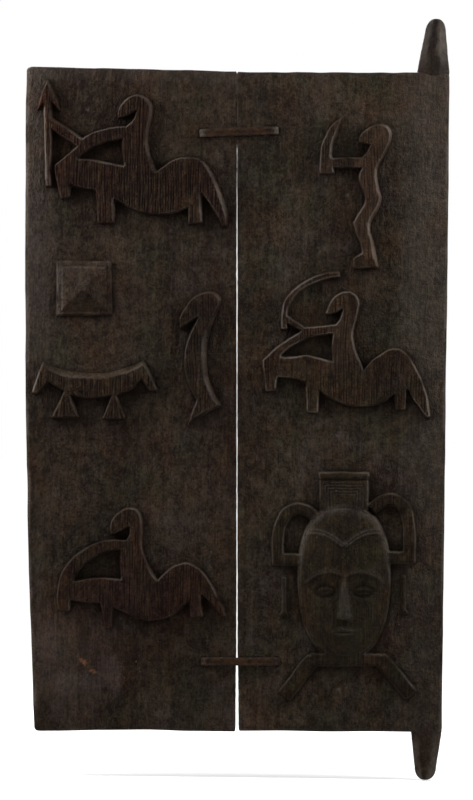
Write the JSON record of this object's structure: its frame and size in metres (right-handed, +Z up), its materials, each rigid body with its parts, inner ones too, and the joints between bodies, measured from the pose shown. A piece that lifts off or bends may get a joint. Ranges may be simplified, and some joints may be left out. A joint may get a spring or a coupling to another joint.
{
  "type": "granary door",
  "caption": "Carved wooden granary door of upright planks held by iron staples, with relief riders, figures and a mask, and pivots at the head and foot of one edge to swing on.",
  "frame": {"origin": "middle of the lower pivot's flat tip, where the swing axis meets it", "axes": "+Z up along the swing axis through both pivots, +Y from the carved side to the back, +X towards the pivot edge"},
  "size_m": [0.4231, 0.0485, 0.7605],
  "materials": {
    "left_plank_wood": "dark aged hewn hardwood, dull",
    "right_plank_wood": "dark aged hewn hardwood, dull",
    "upper_staple_iron": "forged iron, rusted brown",
    "lower_staple_iron": "forged iron, rusted brown"
  },
  "bodies": {
    "root": {"left_plank": "left_plank_wood", "right_plank": "right_plank_wood", "upper_staple": "upper_staple_iron", "lower_staple": "lower_staple_iron"}
  },
  "joints": []
}
